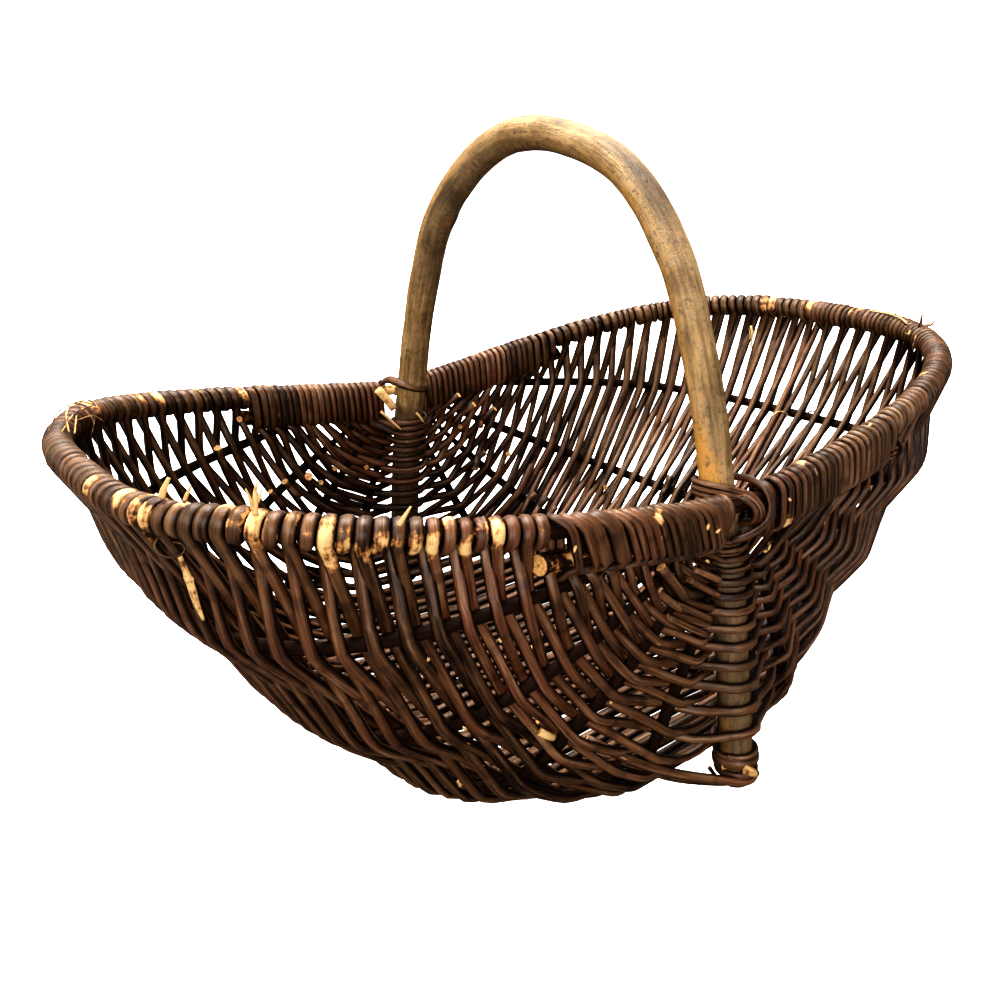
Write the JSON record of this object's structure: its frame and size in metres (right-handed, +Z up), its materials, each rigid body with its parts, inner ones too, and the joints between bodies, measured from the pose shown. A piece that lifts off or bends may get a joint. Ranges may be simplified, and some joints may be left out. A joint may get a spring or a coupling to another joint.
{
  "type": "willow frame basket",
  "caption": "Oval willow basket with a boat-shaped woven body on bent ribs, a rim that dips at the middle, and a fixed arched handle.",
  "frame": {"origin": "centre of the outer box at the height of the ground, where the belly rests", "axes": "+Z up, +X along the rim's long way, -Y the side with the near handle leg"},
  "size_m": [0.5668, 0.3868, 0.3554],
  "materials": {
    "weaver_bark": "brown willow bark, soft sheen",
    "rod_bark": "brown willow rod, soft sheen",
    "handle_bark": "grey-brown and ochre rod, satin"
  },
  "bodies": {
    "root": {"rim_hoop": "rod_bark", "handle_hoop": "handle_bark", "rib_left_upper": "rod_bark", "rib_left_middle": "rod_bark", "rib_left_lower": "rod_bark", "rib_left_bottom": "rod_bark", "rib_right_bottom": "rod_bark", "rib_right_lower": "rod_bark", "rib_right_middle": "rod_bark", "rib_right_upper": "rod_bark", "filler_near_left": "rod_bark", "filler_near_right": "rod_bark", "filler_far_left": "rod_bark", "filler_far_right": "rod_bark", "weave_front": "weaver_bark", "weave_back": "weaver_bark", "near_lashing_falling": "weaver_bark", "near_lashing_rising": "weaver_bark", "far_lashing_rising": "weaver_bark", "far_lashing_falling": "weaver_bark", "near_foot_binding": "weaver_bark", "far_foot_binding": "weaver_bark"}
  },
  "joints": []
}
